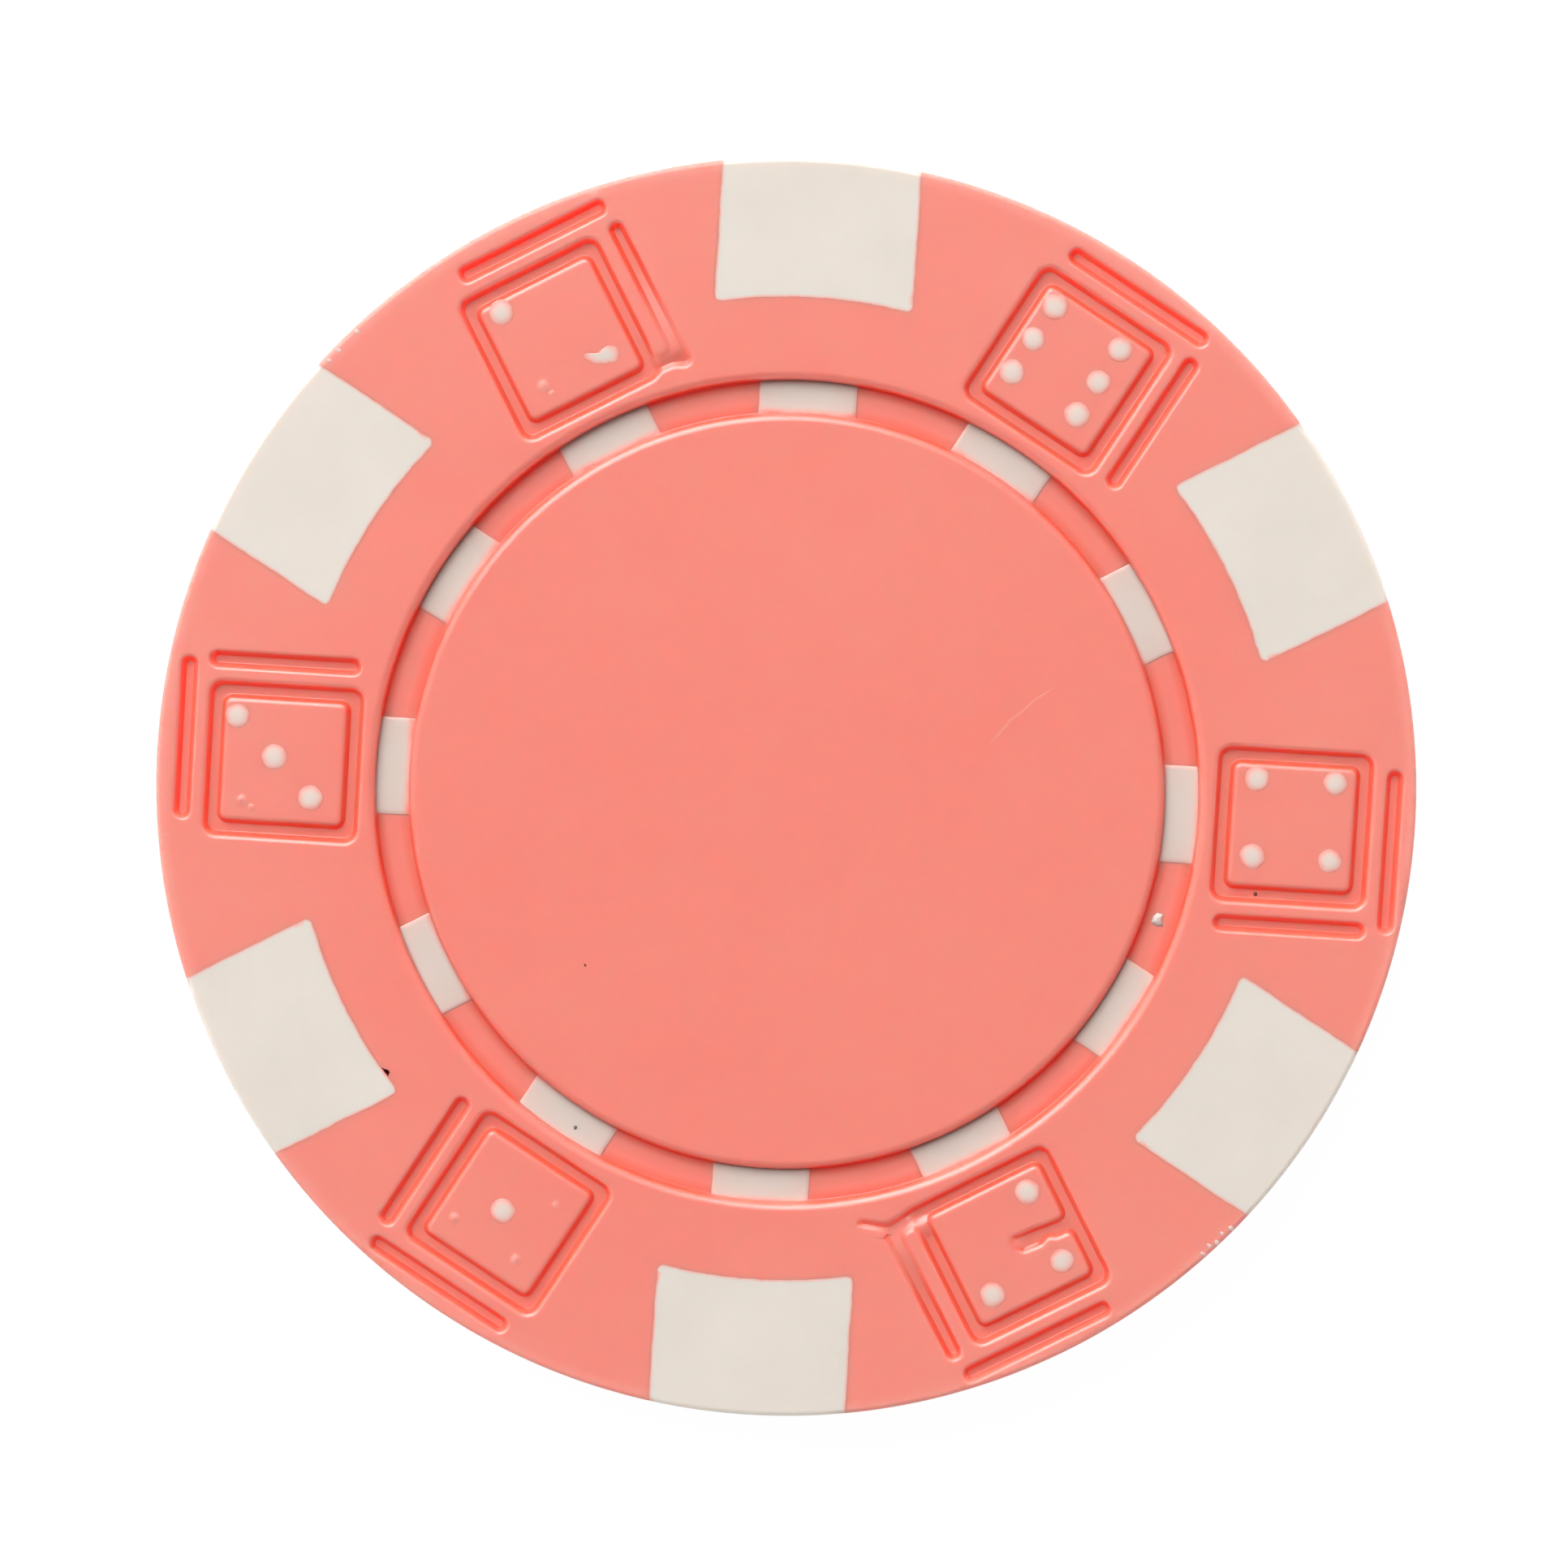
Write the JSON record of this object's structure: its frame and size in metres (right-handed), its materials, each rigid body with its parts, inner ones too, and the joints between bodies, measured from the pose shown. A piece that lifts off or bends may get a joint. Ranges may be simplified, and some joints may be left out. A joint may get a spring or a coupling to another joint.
{
  "type": "poker chip",
  "caption": "Round two-colour moulded poker chip with a weighted core, pale edge spots, dice in relief round the rim and a plain recessed centre disc.",
  "frame": {"origin": "centre of the lower rim face, on the surface the chip lies on", "axes": "+Z out of the upper face, +X through the four, +Y through the middle of an edge spot"},
  "size_m": [0.04, 0.04, 0.0033],
  "materials": {
    "steel": "blanked cold-rolled sheet, plain",
    "white_abs": "satin, as moulded",
    "coral_abs": "satin, as moulded"
  },
  "bodies": {
    "root": {"weight_slug": "steel", "white_core": "white_abs", "coral_body": "coral_abs"}
  },
  "joints": []
}
